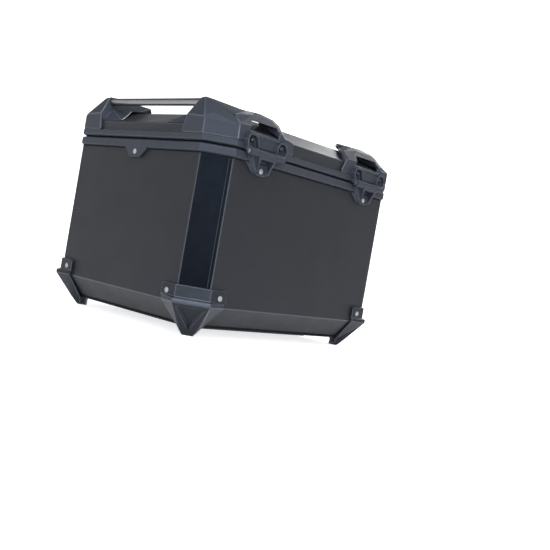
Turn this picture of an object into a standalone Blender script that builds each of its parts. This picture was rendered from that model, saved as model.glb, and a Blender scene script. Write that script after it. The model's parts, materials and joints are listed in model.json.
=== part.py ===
"""Aluminium motorcycle top case with a hinged lid, two latches and four corner guards.

Metres, +Z up, +Y towards the front of the motorcycle, +X to its right.
The origin is on the ground under the middle of the case, which stands on the tips of its guards.
The lid turns on the two hinge pins on the right (+X), and the two latches are on the left (-X).
"""
import bmesh
import bpy
from math import sqrt
from mathutils import Matrix, Vector

OBJECT_NAME = "top_case"
GAP = 0.0003                 # between faces that rest on each other
ROOT2 = sqrt(2)

# The aluminium case
WIDTH = 0.351                # across the side walls
DEPTH = 0.416                # over the rear and front walls
CHAMFER = 0.033              # leg of the upright corner chamfer
SHEET = 0.0015
FLOOR_Z = 0.0148             # underside of the walls' lower edge
SKIRT = 0.0323               # the sloping skirt at the bottom goes in as far as it goes up
FLOOR_THICK = 0.0015
SHEET_TOP = 0.267            # upper edge of the walls, inside the rim
STRIP_WIDTH = 0.044
STRIP_THICK = 0.001
STRIP_SPAN = (0.0726, 0.2564)

# The plastic rim on the case, its seal, and the frame of the lid
RIM_BOTTOM = 0.2568
RIM_TOP = 0.2703
RIM_PROUD = 0.004
SEAL_THICK = 0.0018
FRAME_BOTTOM = 0.2727
FRAME_TOP = 0.2822
FRAME_PROUD = 0.004
TAB_HALF = (0.012, 0.026)    # half widths of the rim's middle tab, at its foot and at the rim
TAB_FOOT = 0.243
TAB_RIVET_Z = 0.2511

# The lid's sheet: an upright band, then a slope up to a flat top
BAND_TOP_END = 0.2961        # on the rear and front
BAND_TOP_SIDE = 0.3006
SLOPE_IN = (0.054, 0.069)    # from the sides and from the ends
TOP_CORNER = (0.012, 0.0070)  # legs of the flat top's corners, which keep the corner facets flat
LID_TOP = 0.3250

# Corner guards
GUARD_TOP = 0.072
GUARD_REACH = 0.030          # along each wall, from the chamfer's edge
GUARD_THICK = 0.0045
RIB_PROUD = 0.0097            # the bumper rib under the rivets, out from the chamfer
GUARD_RIVET = (0.0175, 0.0609)  # from the chamfer edge, and height
RECESS = ((-0.0200, 0.007), (0.0200, 0.007), (0, 0.0475))  # along and down from the rib's lower edge
RIVET_R = 0.0041

# Hinge and latch units: two on each side
UNIT_Y = 0.1224
PIN_OUT = 0.0150             # pin's axis, out from the side wall
PIN_Z = 0.2701
PIN_R = 0.0023
BORE_R = 0.0026
KNUCKLE_R = 0.0055
# Ends of the knuckles along a unit: the lid piece's first, the bracket's, the lid piece's second
KNUCKLES = {
    "hinge": (-0.0400, -0.0210, 0.0125, 0.0300),
    "latch": (-0.0340, -0.0110, 0.0110, 0.0300),
}
# A raised ear's outline, from its foot on the pin up: along from the unit's middle, and height
EARS = (
    ((-0.0380, 0.2712), (-0.0180, 0.2712), (-0.0180, 0.2790), (-0.0240, 0.2935),
     (-0.0300, 0.2955), (-0.0400, 0.2950), (-0.0432, 0.2860), (-0.0420, 0.2800)),
    ((0.0180, 0.2712), (0.0370, 0.2712), (0.0405, 0.2830), (0.0360, 0.2930),
     (0.0300, 0.2955), (0.0220, 0.2940), (0.0180, 0.2860), (0.0170, 0.2800)),
)
EAR_WALL = 0.0024
SCREWS = (-0.0300, 0.0300)
SCREW_Z = 0.2875
LEAF_IN = 0.0043             # inner face of a hinge leaf or keeper, out from the side wall
LEAF_THICK = 0.0017
EAR_OUT = 0.0125
EAR_SILL = 0.0052            # bottom of the room inside an ear, over its foot
PLATE_SPAN = (-0.0330, 0.0240)
PLATE_OUT = 0.0078
PLATE_FOOT = 0.2787           # a gap under it shows the knuckle's top
# Side outline of the arm from an ear to its knuckle: out and height
KNUCKLE_ARM = ((0.0053, 0.2716), (0.0053, 0.2768), (0.0122, 0.2772), (0.0187, 0.2740), (0.0150, 0.2701),
               (0.0110, 0.2697))
KEEPER_FOOT = 0.2775
FLAP_HALF = 0.0168
# Bracket: its foot's outline and its face's, along and height
BRACKET_FOOT = ((-0.0340, 0.2685), (-0.0340, 0.2590), (-0.0267, 0.2534), (-0.0185, 0.2451), (-0.0117, 0.2421),
                (-0.0030, 0.2402), (0.0080, 0.2408), (0.0170, 0.2445), (0.0215, 0.2560), (0.0230, 0.2685))
BRACKET_FACE = ((-0.0240, 0.2685), (-0.0235, 0.2620), (-0.0205, 0.2575), (-0.0160, 0.2490), (-0.0105, 0.2445),
                (-0.0030, 0.2425), (0.0070, 0.2428), (0.0150, 0.2460), (0.0165, 0.2560), (0.0170, 0.2685))
BRACKET_EDGE = 0.0020
BRACKET_OUT = 0.0080
BRACKET_RIVET_Z = 0.2479
POCKET_IN = 0.0042           # floor of the hollow between the bracket's ribs
RIB_WALL = 0.0024
RIB_LEAN = {"hinge": 0.0090, "latch": 0.0}  # how far the first rib leans towards the rivet
# Side outline of the ribs: out, height, and 1 for points at the ribs' leaning foot
RIB_OUTLINE = ((0.0050, 0.2660, 0), (0.0050, 0.2460, 1), (0.0088, 0.2460, 1), (0.0190, 0.2662, 0),
               (0.0150, 0.2701, 0))
LOCK_Z = 0.287
LOCK_R = 0.0049

# Corner pieces of the lid and the tubes between them
TUBE_Y = 0.190
TUBE_Z = 0.3308
TUBE_R = 0.0056
TUBE_HALF = 0.1180
# Slot under a loop: distance from the middle, then its ends at the lower and upper edge and the edges'
# heights; the ends are measured along the case from the unit's middle
SLOT_SECTIONS = (
    (0.1850, (-0.0345, 0.0265), (-0.0295, 0.0260), 0.2970, 0.3130),
    (0.1350, (-0.0300, 0.0220), (-0.0260, 0.0215), 0.3150, 0.3225),
)
LOOP_BACK = {                 # plan of the hole behind a loop
    "rear": ((0.1480, 0.0075), (0.1480, 0.0215), (0.1220, 0.0215), (0.1220, 0.0085)),
    "front": ((0.1470, 0.0000), (0.1470, 0.0215), (0.1220, 0.0215), (0.1220, -0.0030)),
}
RIDGE_END = {"rear": (0.0064, 0.0119), "front": (-0.0064, -0.0119)}  # its top and its foot
# Ends of the loop's foot along the case, from the unit's middle, and the corner hump's points
LOOP_SPAN = {"rear": (-0.0540, 0.0599), "front": (-0.0680, 0.0540)}
HUMP = {
    "rear": [(0.1470, -0.2016, 0.3137), (0.1480, -0.1867, 0.3241), (0.1500, -0.1763, 0.3252),
             (0.1610, -0.1735, 0.3187), (0.1795, -0.1740, 0.3050)],
    "front": [(0.1470, -0.2016, 0.3110), (0.1480, -0.1850, 0.3225), (0.1500, -0.1710, 0.3235),
              (0.1600, -0.1710, 0.3100), (0.1795, -0.1740, 0.3035)],
}

# Base plate, the case's seat on a luggage rack
BASE_SIZE = (0.210, 0.250)
BASE_BOTTOM = 0.0065

SIDES = {"right": 1, "left": -1}
ENDS = {"rear": -1, "front": 1}

COLOURS = {                   # colour, metallic, roughness
    "black_aluminium": ((0.042, 0.044, 0.048), 0.6, 0.45),
    "gloss_strip": ((0.012, 0.014, 0.022), 0.5, 0.2),
    "black_plastic": ((0.052, 0.055, 0.066), 0.0, 0.5),
    "lid_aluminium": ((0.16, 0.165, 0.175), 0.8, 0.4),
    "rubber": ((0.015, 0.015, 0.015), 0.0, 0.8),
    "steel": ((0.55, 0.55, 0.57), 1.0, 0.3),
    "dark_screw": ((0.08, 0.085, 0.1), 0.8, 0.35),
    "brushed_tube": ((0.35, 0.34, 0.32), 1.0, 0.35),
}


# ---------------------------------------------------------------- helpers

def clear_scene():
    for item in list(bpy.data.objects):
        bpy.data.objects.remove(item, do_unlink=True)


def new_collection(name):
    group = bpy.data.collections.new(name)
    bpy.context.scene.collection.children.link(group)
    return group


def new_material(name):
    colour, metallic, roughness = COLOURS[name]
    material = bpy.data.materials.new(name)
    material.use_nodes = True
    shader = material.node_tree.nodes["Principled BSDF"]
    shader.inputs["Base Color"].default_value = (*colour, 1.0)
    shader.inputs["Metallic"].default_value = metallic
    shader.inputs["Roughness"].default_value = roughness
    return material


def mesh_object(name, bm, material):
    """Turn a bmesh into an object of the parts collection."""
    mesh = bpy.data.meshes.new(name)
    bm.to_mesh(mesh)
    bm.free()
    obj = bpy.data.objects.new(name, mesh)
    parts.objects.link(obj)
    if material:
        mesh.materials.append(materials[material])
    return obj


def loft(name, material, levels, ring=False, caps=True):
    """Skin a row of levels, each a loop of points; ring joins the last level to the first."""
    bm = bmesh.new()
    rows = [[bm.verts.new(point) for point in level] for level in levels]
    if ring:
        rows.append(rows[0])
    for lower, upper in zip(rows, rows[1:]):
        for i in range(len(lower)):
            j = (i + 1) % len(lower)
            bm.faces.new((lower[i], lower[j], upper[j], upper[i]))
    if not ring and caps:
        bm.faces.new(rows[0])
        bm.faces.new(rows[-1])
    if ring or caps:
        bmesh.ops.recalc_face_normals(bm, faces=bm.faces)
    return mesh_object(name, bm, material)


def hull(name, material, points):
    """The convex solid around a few corner points."""
    bm = bmesh.new()
    for point in points:
        bm.verts.new(point)
    bmesh.ops.convex_hull(bm, input=bm.verts)
    bmesh.ops.recalc_face_normals(bm, faces=bm.faces)
    return mesh_object(name, bm, material)


def box(name, material, low, high):
    """An upright box between two opposite corners, given in any order."""
    bm = bmesh.new()
    bmesh.ops.create_cube(bm, size=1.0)
    middle = (Vector(low) + Vector(high)) / 2
    size = [abs(b - a) for a, b in zip(low, high)]
    bmesh.ops.transform(bm, matrix=Matrix.Translation(middle) @ Matrix.Diagonal((*size, 1)), verts=bm.verts)
    return mesh_object(name, bm, material)


def cylinder(name, material, start, end, radius, sides=20):
    """A round bar from one point to another."""
    start = Vector(start)
    end = Vector(end)
    along = end - start
    turn = along.to_track_quat("Z", "Y").to_matrix().to_4x4()
    bm = bmesh.new()
    bmesh.ops.create_cone(bm, cap_ends=True, segments=sides, radius1=radius, radius2=radius,
                          depth=along.length)
    bmesh.ops.transform(bm, matrix=Matrix.Translation((start + end) / 2) @ turn, verts=bm.verts)
    return mesh_object(name, bm, material)


def turned(name, material, profile, origin, direction, steps=16):
    """A turned piece: a profile of (radius, height), top to bottom, around a direction."""
    bm = bmesh.new()
    points = [bm.verts.new((radius, 0, height)) for radius, height in profile]
    for upper, lower in zip(points, points[1:]):
        bm.edges.new((upper, lower))
    obj = mesh_object(name, bm, material)
    obj.location = origin
    obj.rotation_mode = "QUATERNION"
    obj.rotation_quaternion = Vector(direction).to_track_quat("Z", "Y")
    screw = obj.modifiers.new("turn", "SCREW")
    screw.steps = steps
    screw.render_steps = steps
    screw.use_merge_vertices = True
    screw.merge_threshold = 0.00001
    return obj


def boolean(obj, tool, operation):
    """Join or cut obj with tool, which becomes a hidden construction piece."""
    if tool.name in parts.objects:
        parts.objects.unlink(tool)
        cutters.objects.link(tool)
    tool.hide_render = True
    tool.display_type = "WIRE"
    step = obj.modifiers.new(operation.lower(), "BOOLEAN")
    step.operation = operation
    step.object = tool
    step.solver = "EXACT"


def join(obj, *tools):
    for tool in tools:
        boolean(obj, tool, "UNION")


def cut(obj, *tools):
    for tool in tools:
        boolean(obj, tool, "DIFFERENCE")


# ---------------------------------------------------------------- plan of the case

def octagon(outset):
    """Plan corners, anticlockwise, of the case grown by outset on every side."""
    half_x = WIDTH / 2 + outset
    half_y = DEPTH / 2 + outset
    leg = CHAMFER + outset * (2 - ROOT2)
    corner = [(half_x - leg, -half_y), (half_x, leg - half_y)]
    right = corner + [(x, -y) for x, y in reversed(corner)]
    return right + [(-x, -y) for x, y in right]


def plan_level(outset, height):
    return [(x, y, height) for x, y in octagon(outset)]


def side_point(side, out, along, up):
    """A point given by its distance out from a side wall."""
    return (side * (WIDTH / 2 + out), along, up)


# ---------------------------------------------------------------- case

def body_shell():
    shell = loft("body_shell", "black_aluminium", [
        plan_level(-SKIRT, FLOOR_Z),
        plan_level(0, FLOOR_Z + SKIRT),
        plan_level(0, SHEET_TOP),
    ], caps=False)
    solid = shell.modifiers.new("sheet", "SOLIDIFY")
    solid.thickness = SHEET
    solid.offset = -1
    solid.use_even_offset = True


def floor_plate():
    top = FLOOR_Z - GAP
    loft("floor_plate", "black_aluminium", [
        plan_level(-SKIRT, top - FLOOR_THICK),
        plan_level(-SKIRT, top),
    ])


def base_plate():
    half_x, half_y = (size / 2 for size in BASE_SIZE)
    top = FLOOR_Z - GAP - FLOOR_THICK - GAP
    plate = box("base_plate", "black_plastic", (-half_x, -half_y, BASE_BOTTOM), (half_x, half_y, top))
    bevel = plate.modifiers.new("edge", "BEVEL")
    bevel.width = 0.002
    bevel.segments = 1


def corner_strips():
    """Thin glossy strips on the four upright chamfers."""
    for end, sy in ENDS.items():
        for side, sx in SIDES.items():
            middle = Vector((sx * (WIDTH - CHAMFER) / 2, sy * (DEPTH - CHAMFER) / 2, 0))
            out = Vector((sx, sy, 0)) / ROOT2
            along = Vector((-sy, sx, 0)) / ROOT2
            levels = []
            for height in STRIP_SPAN:
                level = []
                for across, depth in ((-1, 0), (1, 0), (1, 1), (-1, 1)):
                    point = middle + along * across * STRIP_WIDTH / 2
                    point += out * (GAP + depth * STRIP_THICK)
                    level.append((point.x, point.y, height))
                levels.append(level)
            loft(f"corner_strip_{end}_{side}", "gloss_strip", levels)


def body_rim():
    inner = -SHEET - GAP
    section = [
        (GAP, RIM_BOTTOM),
        (RIM_PROUD, RIM_BOTTOM + 0.0021),
        (RIM_PROUD, RIM_TOP - 0.0023),
        (RIM_PROUD - 0.0025, RIM_TOP),
        (inner - 0.0037, RIM_TOP),
        (inner - 0.0037, RIM_BOTTOM + 0.001),
        (inner, RIM_BOTTOM + 0.001),
        (inner, SHEET_TOP + GAP),
        (GAP, SHEET_TOP + GAP),
    ]
    rim = loft("body_rim", "black_plastic", [plan_level(*point) for point in section], ring=True)
    foot, root = TAB_HALF
    for end, sy in ENDS.items():
        levels = []
        for out in (GAP, RIM_PROUD):
            y = sy * (DEPTH / 2 + out)
            outline = ((-foot, TAB_FOOT), (foot, TAB_FOOT), (root, RIM_BOTTOM), (root, RIM_BOTTOM + 0.006),
                       (-root, RIM_BOTTOM + 0.006), (-root, RIM_BOTTOM))
            levels.append([(x, y, z) for x, z in outline])
        join(rim, loft(f"tab_{end}", None, levels))
        cut(rim, rivet_hole(f"hole_tab_{end}", (0, sy * DEPTH / 2, TAB_RIVET_Z), (0, sy, 0)))


def lid_seal():
    inner = -SHEET - GAP - 0.003
    low = RIM_TOP + GAP
    section = [(inner, low), (-SHEET, low), (-SHEET, low + SEAL_THICK), (inner, low + SEAL_THICK)]
    loft("lid_seal", "rubber", [plan_level(*point) for point in section], ring=True)


def rivet_hole(name, point, out):
    """A cutter for a rivet's shank, out from a point on a wall."""
    point = Vector(point)
    out = Vector(out)
    return cylinder(name, None, point - out * 0.003, point + out * 0.02, 0.0020, sides=12)


def rivet(name, seat, out, reach):
    """A domed blind rivet whose head rests on a face; its shank reaches back into the hole."""
    head = [(0, 0.0018), (RIVET_R * 0.55, 0.0015), (RIVET_R * 0.9, 0.0007), (RIVET_R, GAP)]
    shank = [(0.0016, GAP), (0.0016, -reach), (0, -reach)]
    turned(name, "steel", head + shank, seat, out, steps=14)


def guard_level(height, flange, reach, edge, pinch, inner):
    """One plan section of the right rear guard, outer points first.

    flange and edge are the outsets of the arms' ends and of the two chamfer edges,
    reach is the arms' length, and pinch narrows the chamfer towards its middle.
    """
    def edges(outset, factor):
        (bx, by), (cx, cy) = octagon(outset)[:2]
        mx = (bx + cx) / 2
        my = (by + cy) / 2
        return ((mx + (bx - mx) * factor, my + (by - my) * factor),
                (mx + (cx - mx) * factor, my + (cy - my) * factor))

    (bx, by), (cx, cy) = edges(edge, pinch)
    half_x = WIDTH / 2
    half_y = DEPTH / 2
    (ix, iy), (jx, jy) = edges(inner, min(pinch, 1.0))
    outer = [(bx - reach, -half_y - flange), (bx, by), (cx, cy), (half_x + flange, cy + reach)]
    within = [(half_x + inner, max(cy + reach, jy)), (jx, jy), (ix, iy),
              (min(bx - reach, ix), -half_y - inner)]
    return [(x, y, height) for x, y in outer + within]


def corner_guards():
    knee = FLOOR_Z + SKIRT
    sections = [
        guard_level(GUARD_TOP, GUARD_THICK, GUARD_REACH, GUARD_THICK, 1.0, GAP),
        guard_level(knee + 0.0075, GUARD_THICK, GUARD_REACH, GUARD_THICK, 1.0, GAP),
        guard_level(knee + 0.0055, GUARD_THICK, GUARD_REACH, RIB_PROUD, 1.0, GAP),
        guard_level(knee, GUARD_THICK, GUARD_REACH, RIB_PROUD, 1.0, GAP),
        guard_level(FLOOR_Z - 0.0021, -0.0268, 0.0125, RIB_PROUD - 0.0275, 0.95, -SKIRT + 0.0006),
        guard_level(FLOOR_Z - 0.0022, -0.0269, 0.0124, RIB_PROUD - 0.0276, 0.95, -SKIRT - 0.008),
        guard_level(0.0035, -0.0320, 0.0060, -0.0255, 0.80, -SKIRT - 0.009),
        guard_level(0, -0.0340, 0.0030, -0.0290, 0.70, -SKIRT - 0.010),
    ]
    for end, sy in ENDS.items():
        for side, sx in SIDES.items():
            levels = [[(x * sx, -y * sy, z) for x, y, z in level] for level in sections]
            guard = loft(f"corner_guard_{end}_{side}", "black_plastic", levels)
            cut(guard, guard_recess(f"recess_{end}_{side}", sx, sy))
            near, height = GUARD_RIVET
            bx, cy = octagon(GUARD_THICK)[0][0], octagon(GUARD_THICK)[1][1]
            spots = {
                end: ((sx * (bx - near), sy * DEPTH / 2, height), (0, sy, 0)),
                "side": ((sx * WIDTH / 2, -sy * (cy + near), height), (sx, 0, 0)),
            }
            for wall, (point, out) in spots.items():
                cut(guard, rivet_hole(f"hole_{end}_{side}_{wall}", point, out))
                seat = Vector(point) + Vector(out) * GUARD_THICK
                rivet(f"guard_rivet_{end}_{side}_{wall}", seat, out, GUARD_THICK - 0.0012)


def guard_recess(name, sx, sy):
    """The three-cornered pocket on the sloping face under a guard's rib."""
    knee = FLOOR_Z + SKIRT
    out = Vector((sx, sy, 0)) / ROOT2
    along = Vector((-sy, sx, 0)) / ROOT2
    middle = Vector((sx * (WIDTH - CHAMFER) / 2, sy * (DEPTH - CHAMFER) / 2, 0))
    face = middle + out * RIB_PROUD + Vector((0, 0, knee))
    down = (-0.79 * out - Vector((0, 0, 1))).normalized()
    normal = (out - 0.79 * Vector((0, 0, 1))).normalized()
    levels = []
    for depth in (-0.005, 0.01):
        levels.append([face + along * a + down * d + normal * depth
                       for a, d in RECESS])
    return loft(name, None, levels)


# ---------------------------------------------------------------- hinge and latch units

def pin_point(side, along):
    return side_point(side, PIN_OUT, along, PIN_Z)


def bracket_and_pin(end, sy, sx):
    """The riveted bracket on the case with its knuckle, and the steel pin through it."""
    kind = "hinge" if sx > 0 else "latch"
    name = f"{kind}_bracket_{end}"
    centre = sy * UNIT_Y
    levels = []
    for out, outline in ((GAP, BRACKET_FOOT), (BRACKET_EDGE, BRACKET_FOOT), (BRACKET_OUT, BRACKET_FACE)):
        levels.append([side_point(sx, out, centre + y, z) for y, z in outline])
    bracket = loft(name, "black_plastic", levels)
    start, stop = KNUCKLES[kind][1:3]
    lean = RIB_LEAN[kind]
    rib = []
    for along, foot in ((start, start + lean), (stop, stop)):
        rib += [side_point(sx, out, centre + (foot if low else along), up) for out, up, low in RIB_OUTLINE]
    join(bracket, hull(f"web_{name}", None, rib))
    join(bracket, knuckle(f"knuckle_{name}", sx, centre, start, stop))
    low = side_point(sx, -0.002, centre - 0.06, RIM_BOTTOM - GAP)
    high = side_point(sx, RIM_PROUD + GAP, centre + 0.06, RIM_TOP + 0.01)
    cut(bracket, box(f"rim_room_{name}", None, low, high))
    pocket = []
    for out in (POCKET_IN, POCKET_IN + 0.03):
        outline = ((start + lean + RIB_WALL, 0.2385), (stop - RIB_WALL, 0.2385),
                   (stop - RIB_WALL, 0.2632), (start + RIB_WALL + 0.002, 0.2632))
        pocket.append([side_point(sx, out, centre + y, z) for y, z in outline])
    cut(bracket, loft(f"pocket_{name}", None, pocket))
    cut(bracket, pin_bore(f"bore_{name}", sx, centre))
    spot = side_point(sx, 0, centre, BRACKET_RIVET_Z)
    cut(bracket, rivet_hole(f"hole_{name}", spot, (sx, 0, 0)))
    rivet(f"{name}_rivet", side_point(sx, POCKET_IN, centre, BRACKET_RIVET_Z), (sx, 0, 0), POCKET_IN - 0.0012)

    head = 0.0012
    near = KNUCKLES[kind][0] - GAP
    far = KNUCKLES[kind][3] + GAP
    profile = [(0, head - near), (PIN_R + 0.001, head * 0.6 - near), (PIN_R + 0.001, -near),
               (PIN_R, -near), (PIN_R, -far - head), (0, -far - head)]
    turned(f"{kind}_pin_{end}", "steel", profile, pin_point(sx, centre), (0, -1, 0), steps=16)


def knuckle(name, sx, centre, start, stop):
    """A knuckle on the pin's axis, between two places along the unit."""
    return cylinder(name, None, pin_point(sx, centre + start), pin_point(sx, centre + stop), KNUCKLE_R)


def outer_knuckles(kind):
    """Start and end of the two knuckles that stand each side of the bracket's."""
    first, start, stop, last = KNUCKLES[kind]
    return (first, start - GAP), (stop + GAP, last)


def pin_bore(name, sx, centre):
    return cylinder(name, None, pin_point(sx, centre - 0.06), pin_point(sx, centre + 0.06), BORE_R)


def shrunk(outline, by):
    """A convex outline moved inwards by a wall's thickness."""
    inside = []
    count = len(outline)
    for i, point in enumerate(outline):
        before = Vector(outline[i - 1])
        here = Vector(point)
        after = Vector(outline[(i + 1) % count])
        first = (here - before).normalized()
        second = (after - here).normalized()
        turn = first.x * second.y - first.y * second.x
        inward = Vector((-first.y, first.x)) + Vector((-second.y, second.x))
        shift = inward * by / (1 + first.dot(second))
        inside.append(tuple(here + (shift if turn >= 0 else -shift)))
    return inside


def ear_cutters(name, sx, centre):
    """The room inside each ear and the hole of the screw in it."""
    tools = []
    for number, (outline, along) in enumerate(zip(EARS, SCREWS), 1):
        inside = shrunk(outline, EAR_WALL)
        floor = max(z for y, z in outline[:2]) + EAR_SILL
        inside = [(y, max(z, floor)) for y, z in inside]
        levels = [[side_point(sx, out, centre + y, z) for y, z in inside]
                  for out in (LEAF_IN + LEAF_THICK, EAR_OUT + 0.02)]
        tools.append(loft(f"ear_room_{name}_{number}", None, levels))
        start = side_point(sx, 0, centre + along, SCREW_Z)
        end = side_point(sx, 0.03, centre + along, SCREW_Z)
        tools.append(cylinder(f"screw_hole_{name}_{number}", None, start, end, 0.0024, sides=12))
    return tools


def ears(name, sx, centre):
    """The two raised ears of a lid plate, standing from the plate's back to the ears' face."""
    return [loft(f"ear_{name}_{number}", None,
                 [[side_point(sx, out, centre + y, z) for y, z in outline] for out in (LEAF_IN, EAR_OUT)])
            for number, outline in enumerate(EARS, 1)]


def ear_screws(name, sx, centre):
    """A button-head screw in each ear."""
    seat = LEAF_IN + LEAF_THICK + GAP
    profile = [(0, 0.0035), (0.0025, 0.0033), (0.0039, 0.0022), (0.0042, 0),
               (0.0021, 0), (0.0021, -0.0017), (0, -0.0017)]
    for number, along in enumerate(SCREWS, 1):
        point = side_point(sx, seat, centre + along, SCREW_Z)
        turned(f"{name}_screw_{number}", "dark_screw", profile, point, (sx, 0, 0), steps=14)


def hinge_leaf(end, sy):
    """The lid's half of a hinge: a plate between two ears, each with a knuckle at its foot."""
    name = f"hinge_leaf_{end}"
    centre = sy * UNIT_Y
    leaf = box(name, "black_plastic", side_point(1, LEAF_IN, centre + PLATE_SPAN[0], 0.2768),
               side_point(1, LEAF_IN + LEAF_THICK, centre + PLATE_SPAN[1], 0.2960))
    join(leaf, box(f"plate_{name}", None, side_point(1, LEAF_IN + 0.0005, centre + PLATE_SPAN[0], PLATE_FOOT),
                   side_point(1, PLATE_OUT, centre + PLATE_SPAN[1], 0.2965)))
    join(leaf, box(f"lip_{name}", None, side_point(1, LEAF_IN, centre + PLATE_SPAN[0] + 0.001, 0.2938),
                   side_point(1, PLATE_OUT + 0.0015, centre + PLATE_SPAN[1] - 0.001, 0.2968)))
    join(leaf, *ears(name, 1, centre))
    cut(leaf, *ear_cutters(name, 1, centre))
    start, stop = KNUCKLES["hinge"][1:3]
    room = cylinder(f"knuckle_room_{name}", None, pin_point(1, centre + start - 2 * GAP),
                    pin_point(1, centre + stop + 2 * GAP), KNUCKLE_R + 0.0006)
    cut(leaf, room)
    for number, (start, stop) in enumerate(outer_knuckles("hinge"), 1):
        levels = [[side_point(1, out, centre + along, up) for out, up in KNUCKLE_ARM] for along in (start,
                                                                                                    stop)]
        join(leaf, loft(f"arm_{name}_{number}", None, levels))
        join(leaf, knuckle(f"knuckle_{name}_{number}", 1, centre, start, stop))
    cut(leaf, pin_bore(f"bore_{name}", 1, centre))
    ear_screws(name, 1, centre)


def latch_keeper(end, sy):
    """The lid's half of a latch: a plate between two ears, with a room for the lock's cam."""
    name = f"latch_keeper_{end}"
    centre = sy * UNIT_Y
    low = side_point(-1, LEAF_IN, centre + PLATE_SPAN[0], KEEPER_FOOT)
    high = side_point(-1, LEAF_IN + LEAF_THICK, centre + PLATE_SPAN[1], 0.2965)
    keeper = box(name, "black_plastic", low, high)
    join(keeper, *ears(name, -1, centre))
    cut(keeper, *ear_cutters(name, -1, centre))
    start = side_point(-1, 0, centre, LOCK_Z)
    end_point = side_point(-1, 0.03, centre, LOCK_Z)
    cut(keeper, cylinder(f"cam_room_{name}", None, start, end_point, 0.0076, sides=24))
    cut(keeper, box(f"cam_slot_{name}", None, side_point(-1, 0, centre - 0.0029, 0.260),
                    side_point(-1, 0.03, centre + 0.0029, LOCK_Z)))
    cut(keeper, box(f"foot_cut_{name}", None, side_point(-1, 0, centre - 0.06, 0.260),
                    side_point(-1, 0.03, centre + 0.06, KEEPER_FOOT)))
    ear_screws(name, -1, centre)


def latch_flap(end, sy):
    """The latch's flap: it turns on its pin and lies over the keeper between the ears."""
    name = f"latch_flap_{end}"
    centre = sy * UNIT_Y
    inner = LEAF_IN + LEAF_THICK + 0.0008
    outer = inner + 0.0050
    flap = box(name, "black_plastic", side_point(-1, inner, centre - FLAP_HALF, 0.2770),
               side_point(-1, outer, centre + FLAP_HALF, 0.2965))
    join(flap, box(f"lip_{name}", None, side_point(-1, inner, centre - FLAP_HALF, 0.2935),
                   side_point(-1, outer + 0.003, centre + FLAP_HALF, 0.2965)))
    arm = ((inner, 0.2790), (outer, 0.2790), (PIN_OUT + 0.0037, 0.2740), (PIN_OUT, PIN_Z),
           (PIN_OUT - 0.0048, 0.2725), (inner, 0.2765))
    for number, (start, stop) in enumerate(outer_knuckles("latch"), 1):
        levels = [[side_point(-1, out, centre + along, up) for out, up in arm]
                  for along in (max(start, -FLAP_HALF), min(stop, FLAP_HALF))]
        join(flap, loft(f"arm_{name}_{number}", None, levels))
        join(flap, knuckle(f"knuckle_{name}_{number}", -1, centre, start, stop))
    cut(flap, pin_bore(f"bore_{name}", -1, centre))
    cut(flap, cylinder(f"lock_bore_{name}", None, side_point(-1, 0, centre, LOCK_Z),
                       side_point(-1, 0.03, centre, LOCK_Z), LOCK_R + GAP, sides=24))


def lock_barrel(end, sy):
    """A key lock in the flap, with a cam that turns crosswise in the keeper's room."""
    name = f"lock_barrel_{end}"
    centre = sy * UNIT_Y
    inner = LEAF_IN + LEAF_THICK + 0.0003
    outer = LEAF_IN + LEAF_THICK + 0.0058
    barrel = cylinder(name, "steel", side_point(-1, inner, centre, LOCK_Z),
                      side_point(-1, outer + 0.0006, centre, LOCK_Z), LOCK_R, sides=24)
    join(barrel, box(f"cam_{name}", None, side_point(-1, LEAF_IN + 0.0002, centre - 0.0024, LOCK_Z - 0.0060),
                     side_point(-1, inner + 0.0002, centre + 0.0024, LOCK_Z + 0.0060)))
    cut(barrel, box(f"key_slot_{name}", None, side_point(-1, outer - 0.0012, centre - 0.0004,
                                                         LOCK_Z - 0.0028),
                    side_point(-1, outer + 0.002, centre + 0.0004, LOCK_Z + 0.0028)))


# ---------------------------------------------------------------- lid

def lid_frame():
    inner = -SHEET - GAP
    section = [
        (FRAME_PROUD - 0.0021, FRAME_BOTTOM),
        (FRAME_PROUD, FRAME_BOTTOM + 0.0019),
        (FRAME_PROUD, FRAME_TOP),
        (inner, FRAME_TOP),
        (inner, FRAME_TOP + 0.006),
        (inner - 0.0030, FRAME_TOP + 0.006),
        (inner - 0.0030, FRAME_BOTTOM),
    ]
    loft("lid_frame", "black_plastic", [plan_level(*point) for point in section], ring=True)


def lid_levels(grow, low):
    """The outside of the lid's sheet, or a surface a little larger all over."""
    band = [(x, y, BAND_TOP_SIDE if abs(x) > WIDTH / 2 + grow - 1e-6 else BAND_TOP_END)
            for x, y in octagon(grow)]
    half_x = WIDTH / 2 - SLOPE_IN[0]
    half_y = DEPTH / 2 - SLOPE_IN[1]
    corner = [(half_x - TOP_CORNER[0], -half_y), (half_x, TOP_CORNER[1] - half_y)]
    right = corner + [(x, -y) for x, y in reversed(corner)]
    top = [(x, y, LID_TOP + grow) for x, y in right + [(-x, -y) for x, y in right]]
    return [plan_level(grow, low), band, top]


def lid_sheet():
    levels = lid_levels(0, FRAME_TOP + GAP)
    bm = bmesh.new()
    rows = [[bm.verts.new(point) for point in level] for level in levels]
    for lower, upper in zip(rows, rows[1:]):
        for i in range(8):
            j = (i + 1) % 8
            bm.faces.new((lower[i], lower[j], upper[j], upper[i]))
    bm.faces.new(rows[-1])
    sheet = mesh_object("lid_sheet", bm, "lid_aluminium")
    solid = sheet.modifiers.new("sheet", "SOLIDIFY")
    solid.thickness = SHEET
    solid.offset = -1
    solid.use_even_offset = True


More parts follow.
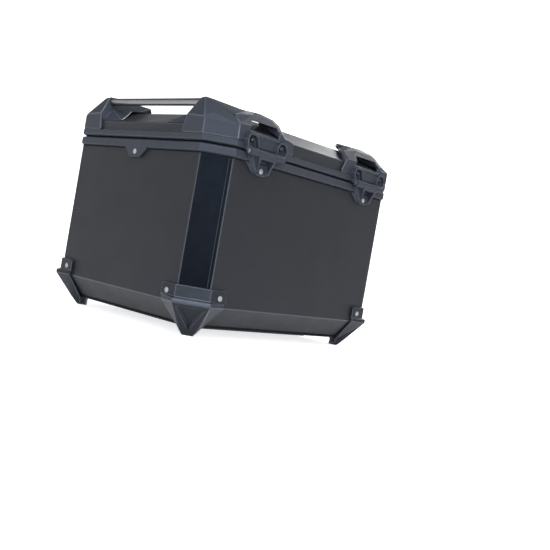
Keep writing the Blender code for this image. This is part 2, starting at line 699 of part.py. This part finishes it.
def corner_hulls(end):
    """Corners of a corner piece's horn with its hump, of its skirt, and of the hollow under its ridge.

    They are for the right rear corner; the front pieces have a lower hump.
    """
    low = FRAME_TOP + GAP
    (bx, by), (cx, cy) = octagon(FRAME_PROUD)[:2]
    horn = [
        (0.0990, by, low), (0.1050, by, 0.3090), (bx, by, low), (bx, by, 0.3025), (bx - 0.0020, by, 0.3062),
        (cx, cy, low), (cx, cy, 0.3025),
        (0.1094, -0.1965, 0.3319), (0.1108, -0.1965, 0.3360), (0.1205, -0.1965, 0.3358),
        (0.1140, -0.1915, 0.3388),
        (0.1180, -0.1890, 0.3380), (0.1120, -0.1800, 0.3395),
        (0.1500, -0.1405, 0.3312),
        (0.1060, -0.1160, 0.3380), (0.1100, -0.1160, 0.3388), (0.1150, -0.1165, 0.3380),
        (0.1100, -0.1105, 0.3335),
        (0.0990, -0.2000, 0.3000), (0.1500, -0.1600, 0.3100),
    ]
    skirt = [
        (0.1010, -0.2075, 0.2970), (0.0560, -0.2052, 0.2988), (0.0560, -0.2052, 0.2940),
        (0.0985, -0.1935, 0.3170),
        (0.0942, -0.1600, 0.3241), (0.1050, -0.1580, 0.3275), (0.1200, -0.2000, 0.3000),
        (0.1200, -0.1580, 0.3100),
    ]
    hollow = [
        (0.0700, -0.1580, 0.3100), (0.1350, -0.1580, 0.3100), (0.0700, -0.0900, 0.3100),
        (0.1350, -0.0900, 0.3100),
        (0.0700, -0.1580, 0.3240), (0.1350, -0.1580, 0.3240), (0.0700, -0.0900, 0.3340),
        (0.1350, -0.0900, 0.3330),
    ]
    return horn + HUMP[end], skirt, hollow


def loop_hulls(end):
    """Corners of the loop over a right-hand unit, its toe, and the hole behind the loop.

    The second number of a point is along the case from the unit's middle.
    """
    low = FRAME_TOP + GAP
    face = WIDTH / 2 + FRAME_PROUD
    heel_end, toe_end = LOOP_SPAN[end]
    ridge, ridge_foot = RIDGE_END[end]
    loop = [
        (face, heel_end, low), (face, toe_end, low), (face, heel_end * 0.88, 0.3015), (face, -0.0540, 0.3058),
        (0.1640, -0.0539, 0.3178), (0.1500, -0.0150, 0.3302), (0.1500, -0.0181, 0.3312),
        (0.1060, ridge, 0.3380), (0.1100, ridge, 0.3388), (0.1100, ridge_foot, 0.3335),
        (0.1540, 0.0042, 0.3315), (0.1560, 0.0310, 0.3288), (0.1640, -0.0190, 0.3250),
        (0.1640, 0.0202, 0.3254),
        (0.1640, 0.0365, 0.3225), (face, 0.0325, 0.3085),
        (0.1500, 0.0300, 0.3050), (0.1150, -0.0010, 0.3220), (0.1560, 0.0400, 0.3000),
    ]
    toe = [
        (face, 0.0250, low), (face, 0.0250, 0.3045), (face, 0.0440, 0.3034), (face, toe_end, low),
        (face, toe_end - 0.0019, 0.3008), (0.1620, 0.0250, 0.3080), (0.1620, 0.0480, 0.3020),
        (0.1620, 0.0480, low),
        (0.1620, 0.0250, low),
    ]
    back = [(x, y, z) for z in (0.3000, 0.3450) for x, y in LOOP_BACK[end]]
    return loop, toe, back


def corner_pieces():
    room = lid_levels(GAP, FRAME_TOP - 0.01)
    for end, sy in ENDS.items():
        horn, skirt, hollow = corner_hulls(end)
        loop, toe, back = loop_hulls(end)
        for side, sx in SIDES.items():
            name = f"corner_piece_{end}_{side}"
            piece = hull(name, "black_plastic", [(x * sx, -y * sy, z) for x, y, z in horn])
            join(piece, hull(f"skirt_{name}", None, [(x * sx, -y * sy, z) for x, y, z in skirt]))
            for part, points in (("loop", loop), ("toe", toe)):
                join(piece, hull(f"{part}_{name}", None, [(x * sx, sy * UNIT_Y + y, z) for x, y,
                                                          z in points]))
            cut(piece, hull(f"hollow_{name}", None, [(x * sx, -y * sy, z) for x, y, z in hollow]))
            cut(piece, hull(f"back_{name}", None, [(x * sx, sy * UNIT_Y + y, z) for x, y, z in back]))
            cut(piece, loft(f"room_{name}", None, room))
            slot = []
            for x, lower, upper, low, high in SLOT_SECTIONS:
                slot.append([(sx * x, sy * UNIT_Y + y, z)
                             for y, z in ((lower[0], low), (lower[1], low), (upper[1], high),
                                          (upper[0], high))])
            cut(piece, loft(f"slot_{name}", None, slot))
            start = (0, sy * TUBE_Y, TUBE_Z)
            cut(piece, cylinder(f"socket_{name}", None, start, (sx * (TUBE_HALF + GAP), sy * TUBE_Y, TUBE_Z),
                                TUBE_R + GAP, sides=24))


def lid_tubes():
    for end, sy in ENDS.items():
        cylinder(f"lid_tube_{end}", "brushed_tube", (-TUBE_HALF, sy * TUBE_Y, TUBE_Z),
                 (TUBE_HALF, sy * TUBE_Y, TUBE_Z), TUBE_R, sides=24)


# ---------------------------------------------------------------- moving pieces

def ride(name, point, prefixes, parent=None):
    """An empty on a joint's axis that carries the pieces whose names start so, with their cutters."""
    empty = bpy.data.objects.new(name, None)
    parts.objects.link(empty)
    empty.location = point
    if parent:
        empty.parent = parent
        empty.location = Vector(point) - parent.location
    for obj in list(parts.objects):
        if obj.type == "MESH" and obj.name.startswith(prefixes):
            tools = [step.object for step in obj.modifiers if step.type == "BOOLEAN"]
            for item in [obj, *tools]:
                item.parent = empty
                item.matrix_parent_inverse = Matrix.Translation(-Vector(point))
    return empty


# ---------------------------------------------------------------- build

clear_scene()
materials = {name: new_material(name) for name in COLOURS}
parts = new_collection(OBJECT_NAME)
cutters = new_collection("cutters")

body_shell()
floor_plate()
base_plate()
corner_strips()
body_rim()
lid_seal()
for end, sy in ENDS.items():
    rivet(f"rim_rivet_{end}", (0, sy * (DEPTH / 2 + RIM_PROUD), TAB_RIVET_Z), (0, sy, 0), RIM_PROUD - 0.001)
corner_guards()
for end, sy in ENDS.items():
    for sx in SIDES.values():
        bracket_and_pin(end, sy, sx)
    hinge_leaf(end, sy)
    latch_keeper(end, sy)
    latch_flap(end, sy)
    lock_barrel(end, sy)
lid_frame()
lid_sheet()
corner_pieces()
lid_tubes()

ride("lid_axis", pin_point(1, 0),
     ("lid_frame", "lid_sheet", "lid_tube", "corner_piece", "hinge_leaf", "latch_keeper"))
for end, sy in ENDS.items():
    flap_axis = ride(f"latch_axis_{end}", pin_point(-1, sy * UNIT_Y), (f"latch_flap_{end}",))
    ride(f"lock_axis_{end}", side_point(-1, LEAF_IN, sy * UNIT_Y, LOCK_Z), (f"lock_barrel_{end}",), flap_axis)
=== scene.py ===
"""Looks of an aluminium motorcycle top case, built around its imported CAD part.

The case stands on its corner guards on a pale studio floor, in the frame of the CAD part:
metres, +Z up, +Y towards the front of the motorcycle, +X to its right.
"""

import json
import math

import bmesh
import bpy
from mathutils import Matrix, Vector
from mathutils.bvhtree import BVHTree


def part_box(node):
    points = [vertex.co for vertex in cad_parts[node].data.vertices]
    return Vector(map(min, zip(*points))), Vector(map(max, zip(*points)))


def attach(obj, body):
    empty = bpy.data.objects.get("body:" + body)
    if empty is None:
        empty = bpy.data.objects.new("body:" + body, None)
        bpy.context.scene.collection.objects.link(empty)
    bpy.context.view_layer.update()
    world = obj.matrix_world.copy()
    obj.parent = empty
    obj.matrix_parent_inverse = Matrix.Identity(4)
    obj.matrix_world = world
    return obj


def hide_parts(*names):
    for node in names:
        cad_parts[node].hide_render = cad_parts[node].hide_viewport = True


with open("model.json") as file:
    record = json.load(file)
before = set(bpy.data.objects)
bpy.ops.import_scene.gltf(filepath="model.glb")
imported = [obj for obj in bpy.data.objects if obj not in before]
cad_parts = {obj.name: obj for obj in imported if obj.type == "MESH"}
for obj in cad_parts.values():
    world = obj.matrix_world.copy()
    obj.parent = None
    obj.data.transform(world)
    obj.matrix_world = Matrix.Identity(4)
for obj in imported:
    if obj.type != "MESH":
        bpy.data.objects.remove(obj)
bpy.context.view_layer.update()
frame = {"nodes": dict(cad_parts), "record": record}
record = frame["record"]
nodes = frame["nodes"]
bodies = record["behaviour"]["bodies"]
body_of = {node: body for body, members in bodies.items() for node in members}
slot_of = {part["node"]: part["material_slot"] for part in record["subparts"]}


# ---------------------------------------------------------------- materials

NOISE_LOW = 0.3              # the part of a noise's range that is used
NOISE_HIGH = 0.7
SMEAR_FINER = 2.3            # the roughness varies in smaller patches than the colour


def new_node(tree, kind, **settings):
    node = tree.nodes.new(kind)
    for key, value in settings.items():
        if key[0].isupper():
            node.inputs[key.replace("_", " ")].default_value = value
        else:
            setattr(node, key, value)
    return node


def surface(name, colour, roughness, metallic, mottle, grain, fine=None, stretch=(1, 1, 1), **constants):
    """A procedural material.

    mottle is (scale, share): how much the colour varies in patches of about 1 / scale metres.
    grain is (scale, strength, distance) of the bump, and fine a second, finer one.
    roughness is (low, high), spread by a noise of its own. stretch scales the pattern's axes.
    constants are values of the shader's own sockets.
    """
    material = bpy.data.materials.new(name)
    material.use_nodes = True
    tree = material.node_tree
    shader = tree.nodes["Principled BSDF"]
    shader.inputs["Metallic"].default_value = metallic
    for key, value in constants.items():
        shader.inputs[key.replace("_", " ")].default_value = value
    place = new_node(tree, "ShaderNodeTexCoord")
    mapping = new_node(tree, "ShaderNodeMapping")
    mapping.inputs["Scale"].default_value = stretch
    tree.links.new(place.outputs["Object"], mapping.inputs["Vector"])

    scale, share = mottle
    patches = new_node(tree, "ShaderNodeTexNoise", Scale=scale, Detail=6.0, Roughness=0.6)
    tree.links.new(mapping.outputs["Vector"], patches.inputs["Vector"])
    ramp = new_node(tree, "ShaderNodeValToRGB")
    ramp.color_ramp.elements[0].position = NOISE_LOW
    ramp.color_ramp.elements[1].position = NOISE_HIGH
    ramp.color_ramp.elements[0].color = (*[c * (1 - share) for c in colour], 1)
    ramp.color_ramp.elements[1].color = (*[c * (1 + share) for c in colour], 1)
    tree.links.new(patches.outputs["Fac"], ramp.inputs["Fac"])
    tree.links.new(ramp.outputs["Color"], shader.inputs["Base Color"])

    low, high = roughness
    spread = new_node(tree, "ShaderNodeMapRange")
    spread.inputs["From Min"].default_value = NOISE_LOW
    spread.inputs["From Max"].default_value = NOISE_HIGH
    spread.inputs["To Min"].default_value = low
    spread.inputs["To Max"].default_value = high
    smear = new_node(tree, "ShaderNodeTexNoise", Scale=scale * SMEAR_FINER, Detail=8.0, Roughness=0.65,
                     Distortion=0.4)
    tree.links.new(mapping.outputs["Vector"], smear.inputs["Vector"])
    tree.links.new(smear.outputs["Fac"], spread.inputs["Value"])
    tree.links.new(spread.outputs["Result"], shader.inputs["Roughness"])

    last = None
    for pattern in (grain, fine):
        if not pattern:
            continue
        scale, strength, distance = pattern
        noise = new_node(tree, "ShaderNodeTexNoise", Scale=scale, Detail=2.0)
        tree.links.new(mapping.outputs["Vector"], noise.inputs["Vector"])
        bump = new_node(tree, "ShaderNodeBump", Strength=strength, Distance=distance)
        tree.links.new(noise.outputs["Fac"], bump.inputs["Height"])
        if last:
            tree.links.new(last.outputs["Normal"], bump.inputs["Normal"])
        last = bump
    if last:
        tree.links.new(last.outputs["Normal"], shader.inputs["Normal"])
    return material


looks = {
    "black_aluminium": surface(
        "black_aluminium", (0.0078, 0.0081, 0.0096), (0.44, 0.54), 0.0,
        mottle=(9, 0.06), grain=(1400, 0.25, 0.0002), fine=(5200, 0.2, 0.0001), Specular_IOR_Level=0.16,
    ),
    "gloss_strip": surface(
        "gloss_strip", (0.0012, 0.0018, 0.0032), (0.16, 0.32), 0.0,
        mottle=(22, 0.3), grain=(300, 0.05, 0.0002), Specular_IOR_Level=0.018,
    ),
    "black_plastic": surface(
        "black_plastic", (0.0215, 0.0228, 0.0272), (0.46, 0.56), 0.0,
        mottle=(30, 0.06), grain=(1900, 0.35, 0.0002), fine=(6000, 0.2, 0.0001), Specular_IOR_Level=0.11,
    ),
    "guard_plastic": surface(
        "guard_plastic", (0.0052, 0.0057, 0.0078), (0.36, 0.46), 0.0,
        mottle=(30, 0.08), grain=(1900, 0.35, 0.0002), fine=(6000, 0.2, 0.0001), Specular_IOR_Level=0.16,
    ),
    # The guards' edge look: lighter than their plastic, it is a painted highlight on rounded edges, the
    # rib and faces tilted upwards.
    "guard_painted_highlight": surface(
        "guard_painted_highlight", (0.0190, 0.0208, 0.0265), (0.32, 0.42), 0.0,
        mottle=(40, 0.08), grain=(1900, 0.15, 0.0002), Specular_IOR_Level=0.3,
    ),
    # Lighter than black_plastic: a painted highlight along the rounded edges of the plastic parts.
    "plastic_edge_painted_highlight": surface(
        "plastic_edge_painted_highlight", (0.029, 0.0315, 0.0385), (0.30, 0.42), 0.0,
        mottle=(40, 0.08), grain=(1900, 0.15, 0.0002), Specular_IOR_Level=0.4,
    ),
    "lid_aluminium": surface(
        "lid_aluminium", (0.0100, 0.0105, 0.0122), (0.40, 0.48), 0.0,
        mottle=(9, 0.06), grain=(1400, 0.18, 0.0002), Specular_IOR_Level=0.16,
    ),
    # Lighter than the frame's plastic: a painted highlight along the rounded edges of rim and lid frame.
    "frame_edge_painted_highlight": surface(
        "frame_edge_painted_highlight", (0.0230, 0.0245, 0.0295), (0.38, 0.48), 0.0,
        mottle=(40, 0.08), grain=(1900, 0.2, 0.0002), Specular_IOR_Level=0.2,
    ),
    # Lighter than the sheets: a painted highlight along the rounded edges of the body and lid sheets.
    "sheet_edge_painted_highlight": surface(
        "sheet_edge_painted_highlight", (0.0200, 0.0210, 0.0240), (0.34, 0.44), 0.0,
        mottle=(40, 0.06), grain=(1400, 0.18, 0.0002), Specular_IOR_Level=0.3,
    ),
    # Dark matte rubber for the floor sealant; it also paints shade in the strips' seams and under the
    # rim.
    "seal_rubber": surface(
        "seal_rubber", (0.0025, 0.0025, 0.0030), (0.7, 0.85), 0.0,
        mottle=(60, 0.1), grain=(900, 0.3, 0.0002), Specular_IOR_Level=0.06,
    ),
    "rivet_steel": surface(
        "rivet_steel", (0.185, 0.190, 0.198), (0.42, 0.55), 0.2,
        mottle=(400, 0.06), grain=(2500, 0.1, 0.0001),
    ),
    "pin_steel": surface(
        "pin_steel", (0.20, 0.21, 0.225), (0.30, 0.42), 0.9,
        mottle=(400, 0.06), grain=(2500, 0.1, 0.0001),
    ),
    "lock_steel": surface(
        "lock_steel", (0.40, 0.40, 0.41), (0.28, 0.40), 1.0,
        mottle=(400, 0.06), grain=(3000, 0.12, 0.0001),
    ),
    "dark_screw": surface(
        "dark_screw", (0.030, 0.032, 0.038), (0.24, 0.36), 0.8,
        mottle=(300, 0.1), grain=(2500, 0.15, 0.0001),
    ),
    "brushed_tube": surface(
        "brushed_tube", (0.20, 0.20, 0.20), (0.26, 0.38), 1.0,
        mottle=(60, 0.10), grain=(900, 0.35, 0.0002), stretch=(0.03, 1, 1),
    ),
}


# ---------------------------------------------------------------- pieces from the CAD nodes

MERGE_DISTANCE = 0.00001     # metres
FLAT_ANGLE = 0.6             # degrees
SHORTEST_ROUNDED = 0.004     # metres
SMALLEST_FACE = 6e-6         # square metres
FARTHEST_MOVED = 0.6         # of a rounding's width
FLANGE_FOOT = 0.045          # height of a guard's flanges above the ground
FLANGE_RADIUS = 0.0042
FLANGE_THICKEST = 0.0045
RIB_TOP = 0.056              # height of the rib on a guard's chamfer
GUARD_LOOK = "guard_plastic"


def own_mesh(node):
    """A clean copy of a CAD node's mesh: doubled points merged, flat faces joined."""
    bm = bmesh.new()
    bm.from_mesh(nodes[node].data)
    bmesh.ops.remove_doubles(bm, verts=bm.verts, dist=MERGE_DISTANCE)
    bmesh.ops.dissolve_limit(bm, angle_limit=math.radians(FLAT_ANGLE), verts=bm.verts, edges=bm.edges)
    return bm


def add_piece(name, bm, materials, body):
    """A smooth-shaded piece that rides on a body, with its materials by name."""
    mesh = bpy.data.meshes.new(name)
    bm.to_mesh(mesh)
    bm.free()
    for item in materials:
        mesh.materials.append(looks[item])
    mesh.shade_smooth()
    obj = bpy.data.objects.new(name, mesh)
    bpy.context.scene.collection.objects.link(obj)
    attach(obj, body)
    return obj


def is_long_corner(edge, angle):
    """Whether an edge is sharp, long and wide enough to be rounded."""
    if len(edge.link_faces) != 2 or edge.calc_face_angle(0) < math.radians(angle):
        return False
    smallest = min(face.calc_area() for face in edge.link_faces)
    return edge.calc_length() > SHORTEST_ROUNDED and smallest > SMALLEST_FACE


def round_flange_corners(bm):
    """The outer corners of a guard's two flanges, seen square on the walls."""
    ends = []
    for e in bm.edges:
        along = (e.verts[1].co - e.verts[0].co).normalized()
        middle = (e.verts[0].co + e.verts[1].co) / 2
        square = max(abs(along.x), abs(along.y)) > 0.97
        short = e.calc_length() < FLANGE_THICKEST
        if square and short and e.calc_face_angle(0) > 1.0 and middle.z > FLANGE_FOOT:
            ends.append(e)
    bmesh.ops.bevel(bm, geom=ends, offset=FLANGE_RADIUS, offset_type="OFFSET", segments=3, profile=0.5,
                    affect="EDGES", clamp_overlap=True)


def rounded(node, width, segments=2, angle=24, crease=24, edge="plastic_edge_painted_highlight", look=None):
    """A copy of a CAD node with its long edges rounded, which stands for the node.

    Edges over angle degrees are rounded, and other edges over crease degrees stay crisp.
    The rounded faces take the lighter edge look, a painted highlight along the edges; on a guard the rib
    and the faces tilted upwards take it too.
    """
    bm = own_mesh(node)
    slot = slot_of[node]
    if look == GUARD_LOOK:
        round_flange_corners(bm)
    surface_before = BVHTree.FromBMesh(bm)
    chosen = [e for e in bm.edges if is_long_corner(e, angle)]
    kept = set(chosen)
    for e in bm.edges:
        e.smooth = e in kept or e.calc_face_angle(0) < math.radians(crease)
    # material=1: the rounded faces take the lighter edge look, a painted highlight.
    bmesh.ops.bevel(bm, geom=chosen, offset=width, offset_type="OFFSET", segments=segments, profile=0.5,
                    affect="EDGES", clamp_overlap=False, material=1, miter_outer="ARC")
    for v in bm.verts:
        nearest, normal, index, distance = surface_before.find_nearest(v.co)
        if distance > width * FARTHEST_MOVED:
            v.co = nearest
    # Painted highlight: the rib's faces and the faces tilted upwards take the lighter guard look, where
    # light would catch them.
    if look == GUARD_LOOK:
        bm.normal_update()
        for f in bm.faces:
            diagonal = min(abs(f.normal.x), abs(f.normal.y))
            on_rib = diagonal > 0.6 and abs(f.normal.z) < 0.05 and f.calc_center_median().z < RIB_TOP
            if on_rib or (f.normal.z > 0.25 and diagonal > 0.2):
                f.material_index = 1
    obj = add_piece(node + "_form", bm, (look or slot, edge), body_of[node])
    weighted = obj.modifiers.new("normals", "WEIGHTED_NORMAL")
    weighted.weight = 80
    weighted.keep_sharp = True
    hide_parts(node)
    return obj


def plain(node):
    """A CAD node whose shape is right keeps it, and gets its material."""
    mesh = nodes[node].data
    mesh.materials.clear()
    mesh.materials.append(looks[slot_of[node]])


ROUNDING = {
    "corner_piece": (0.0012, 2),
    "corner_guard": (0.0011, 2),
    "body_shell": (0.0010, 2),
    "lid_sheet": (0.0014, 2),
    "body_rim": (0.0006, 2),
    "lid_frame": (0.0006, 2),
    "hinge_leaf": (0.0005, 2),
    "hinge_bracket": (0.0005, 2),
    "latch_keeper": (0.0005, 2),
    "latch_bracket": (0.0005, 2),
    "latch_flap": (0.0005, 2),
}
# Lighter looks on the rounded edges: painted highlights.
EDGE_HIGHLIGHT_LOOKS = {"body_shell": "sheet_edge_painted_highlight", "lid_sheet": "sheet_edge_painted_highlight", "corner_guard": "guard_painted_highlight",
              "body_rim": "frame_edge_painted_highlight", "lid_frame": "frame_edge_painted_highlight"}
for node in sorted(nodes):
    kind = next((key for key in ROUNDING if node.startswith(key)), None)
    if kind and "rivet" not in node and "screw" not in node:
        width, segments = ROUNDING[kind]
        rounded(
            node, width, segments,
            crease=8 if kind == "corner_piece" else 24,
            angle=15 if kind in ("body_shell", "lid_sheet") else 24,
            edge=EDGE_HIGHLIGHT_LOOKS.get(kind, "plastic_edge_painted_highlight"),
            look=GUARD_LOOK if kind == "corner_guard" else None,
        )
    else:
        plain(node)


# ---------------------------------------------------------------- added pieces

CORNERS = [
    ("rear", "right", 1, -1),
    ("rear", "left", -1, -1),
    ("front", "right", 1, 1),
    ("front", "left", -1, 1),
]
STRIP_WIDTH = 0.044
STRIP_THICK = 0.001
BODY_HALF = (0.1755, 0.208)
BODY_CHAMFER = 0.033
SEAM_FROM_EDGE = 0.0042
# The bead's lighter colour is a painted highlight on the strip's edge; the dark seam is painted shade in
# the gap.
STRIP_LINES = [              # name, distance from the bead, width, rise and look
    ("bead", 0.0, 0.0008, 0.00035, "black_plastic"),
    ("seam", 0.0013, 0.0014, 0.00012, "seal_rubber"),
]
# Painted shadow: a dark band under the rim's lower edge, where the rim shades the walls.
RIM_SHADOW_SECTION = [           # distance from the wall and height
    (0.0, 0.2558),
    (0.0013, 0.2560),
    (0.0016, 0.2563),
    (0.0016, 0.2568),
    (0.0, 0.2568),
]
SEALANT_SECTION = [          # distance past the floor plate's edge and height above it
    (-0.0030, 0.0001),
    (-0.0002, 0.0001),
    (0.0031, 0.0028),
    (0.0002, 0.0024),
]


def loft(bm, levels):
    """A closed solid through rings of points of the same count."""
    rings = [[bm.verts.new(point) for point in level] for level in levels]
    for lower, upper in zip(rings, rings[1:]):
        for i in range(len(lower)):
            j = (i + 1) % len(lower)
            bm.faces.new((lower[i], lower[j], upper[j], upper[i]))
    bm.faces.new(rings[0][::-1])
    bm.faces.new(rings[-1])
    bmesh.ops.recalc_face_normals(bm, faces=bm.faces)


def closed_ring(rings):
    """A closed band whose section is the row of rings, each of the same count of points."""
    bm = bmesh.new()
    verts = [[bm.verts.new(point) for point in ring] for ring in rings]
    count = len(rings[0])
    for lower, upper in zip(verts, verts[1:] + verts[:1]):
        for i in range(count):
            j = (i + 1) % count
            bm.faces.new((lower[i], lower[j], upper[j], upper[i]))
    bmesh.ops.recalc_face_normals(bm, faces=bm.faces)
    return bm


def strip_lines():
    """The folded edge along each corner strip: a bead whose lighter colour is a painted highlight, and
    beside it the dark seam, painted shade in the gap.
    """
    for end, side, sx, sy in CORNERS:
        low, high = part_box(f"corner_strip_{end}_{side}")
        out = Vector((sx, sy, 0)).normalized()
        to_side = Vector((sx, -sy, 0)).normalized()
        face = Vector(((low[0] + high[0]) / 2, (low[1] + high[1]) / 2, 0)) + out * STRIP_THICK / 2
        edge = STRIP_WIDTH / 2 - SEAM_FROM_EDGE
        for name, offset, width, rise, look in STRIP_LINES:
            section = [(-width / 2, -0.0002), (width / 2, -0.0002), (width / 2, rise * 0.4),
                       (width / 4, rise), (-width / 4, rise), (-width / 2, rise * 0.4)]
            levels = []
            for z in (low[2] + 0.0006, high[2] - 0.0012):
                ring = [face + to_side * (edge + offset + a) + out * o for a, o in section]
                levels.append([(point.x, point.y, z) for point in ring])
            bm = bmesh.new()
            loft(bm, levels)
            line = add_piece(f"corner_strip_{name}_{end}_{side}", bm, (look,), "case")
            line.data.shade_flat()


def paint_rim_shadow():
    """A thin dark band between the walls and the lower edge of the rim: a painted shadow where the rim
    overhangs the walls.
    """
    rings = []
    for offset, z in RIM_SHADOW_SECTION:
        half_x, half_y = (half + offset for half in BODY_HALF)
        leg = BODY_CHAMFER + offset * (2 - math.sqrt(2))
        ring = []
        for sx, sy in ((1, -1), (1, 1), (-1, 1), (-1, -1)):
            pair = [(sx * (half_x - leg), sy * half_y, z), (sx * half_x, sy * (half_y - leg), z)]
            ring += pair if sx * sy < 0 else pair[::-1]
        rings.append(ring)
    bm = closed_ring(rings)
    add_piece("rim_painted_shadow", bm, ("seal_rubber",), "case").data.shade_flat()


def floor_sealant():
    """A bead of sealant in the corner between the floor plate and the skirt."""
    low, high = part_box("floor_plate")
    vertices = nodes["floor_plate"].data.vertices
    top = [v.co.copy() for v in vertices if v.co.z > high.z - 0.0001]
    outline = sorted({(round(p.x, 5), round(p.y, 5)) for p in top}, key=lambda p: math.atan2(p[1], p[0]))
    count = len(outline)
    normals = []
    for i in range(count):
        (ax, ay), (bx, by) = outline[i], outline[(i + 1) % count]
        normals.append(Vector((by - ay, ax - bx)).normalized())
    rings = []
    for reach, rise in SEALANT_SECTION:
        ring = []
        for i in range(count):
            before, after = normals[i - 1], normals[i]
            out = (before + after) / (1 + before.dot(after))
            ring.append((outline[i][0] + out.x * reach, outline[i][1] + out.y * reach, high.z + rise))
        rings.append(ring)
    bm = closed_ring(rings)
    add_piece("floor_sealant", bm, ("seal_rubber",), "case").data.shade_flat()


strip_lines()
floor_sealant()
paint_rim_shadow()


# ---------------------------------------------------------------- studio

def camera_matrix(azimuth, elevation, roll, position):
    """A camera that looks at the case from an azimuth and elevation, turned about its own axis."""
    az = math.radians(azimuth)
    el = math.radians(elevation)
    turn = math.radians(roll)
    back = Vector((math.sin(az) * math.cos(el), -math.cos(az) * math.cos(el), math.sin(el)))
    right = (-back).cross(Vector((0, 0, 1))).normalized()
    up = right.cross(-back)
    across = right * math.cos(turn) + up * math.sin(turn)
    above = up * math.cos(turn) - right * math.sin(turn)
    distance, aside, below = position
    place = (back * distance + right * aside - up * below) * 0.9 + Vector((0, 0, 0.1521))
    matrix = Matrix.Identity(4)
    for column, vector in enumerate((across, above, back, place)):
        for row in range(3):
            matrix[row][column] = vector[row]
    return matrix


def set_camera():
    data = bpy.data.cameras.new("camera")
    data.sensor_width = 36
    data.lens = 53.39
    data.shift_x = -0.0061
    data.shift_y = -0.0040
    data.clip_start = 0.01
    data.clip_end = 60
    camera = bpy.data.objects.new("camera", data)
    camera.matrix_world = camera_matrix(42.6127, 1.1557, 9.9149, (1.5274, 0.1095, 0.0512))
    bpy.context.scene.collection.objects.link(camera)
    bpy.context.scene.camera = camera


def set_floor():
    """A pale floor that rises into a backdrop far behind the case on every side."""
    bm = bmesh.new()
    rings = [(3.0, 0.0), (5.0, 0.0), (6.0, 0.25), (6.8, 0.9), (7.0, 1.8), (7.0, 3.3)]
    steps = 96
    rows = []
    angles = [2 * math.pi * i / steps for i in range(steps)]
    for radius, height in rings:
        points = [(radius * math.cos(angle), radius * math.sin(angle), height) for angle in angles]
        rows.append([bm.verts.new(point) for point in points])
    bm.faces.new(rows[0])
    for lower, upper in zip(rows, rows[1:]):
        for i in range(steps):
            j = (i + 1) % steps
            bm.faces.new((lower[i], lower[j], upper[j], upper[i]))
    for face in bm.faces:
        if (face.calc_center_median() - Vector((0, 0, 4))).dot(face.normal) > 0:
            face.normal_flip()
    mesh = bpy.data.meshes.new("floor")
    bm.to_mesh(mesh)
    bm.free()
    floor = bpy.data.objects.new("floor", mesh)
    bpy.context.scene.collection.objects.link(floor)
    material = bpy.data.materials.new("floor")
    material.use_nodes = True
    shader = material.node_tree.nodes["Principled BSDF"]
    shader.inputs["Base Color"].default_value = (0.90, 0.90, 0.90, 1)
    shader.inputs["Roughness"].default_value = 0.9
    shader.inputs["Specular IOR Level"].default_value = 0.1
    shader.inputs["Emission Color"].default_value = (1, 1, 1, 1)
    shader.inputs["Emission Strength"].default_value = 0.72
    mesh.materials.append(material)


def add_light(name, place, target, size, power, colour=(1, 1, 1)):
    data = bpy.data.lights.new(name, "AREA")
    data.shape = "RECTANGLE"
    data.size, data.size_y = size
    data.energy = power
    data.color = colour
    light = bpy.data.objects.new(name, data)
    light.location = place
    light.rotation_euler = (Vector(target) - Vector(place)).to_track_quat("-Z", "Y").to_euler()
    bpy.context.scene.collection.objects.link(light)


def set_lights():
    world = bpy.data.worlds.new("studio")
    bpy.context.scene.world = world
    world.use_nodes = True
    background = world.node_tree.nodes["Background"]
    background.inputs["Color"].default_value = (1, 1, 1, 1)
    background.inputs["Strength"].default_value = 0.18
    middle = (0, 0, 0.17)
    add_light("above", (0.9, 1.3, 2.4), middle, (1.8, 1.8), 16)
    add_light("front", (-0.75, 2.45, 1.8), middle, (1.1, 1.1), 34)
    add_light("camera_side", (2.3, -2.3, 0.55), middle, (1.2, 1.2), 74, (0.60, 0.76, 1.0))
    add_light("camera_above", (1.05, -0.95, 2.2), middle, (1.3, 1.1), 80, (0.80, 0.89, 1.0))


bpy.context.scene.view_settings.view_transform = "Standard"
set_camera()
set_floor()
set_lights()
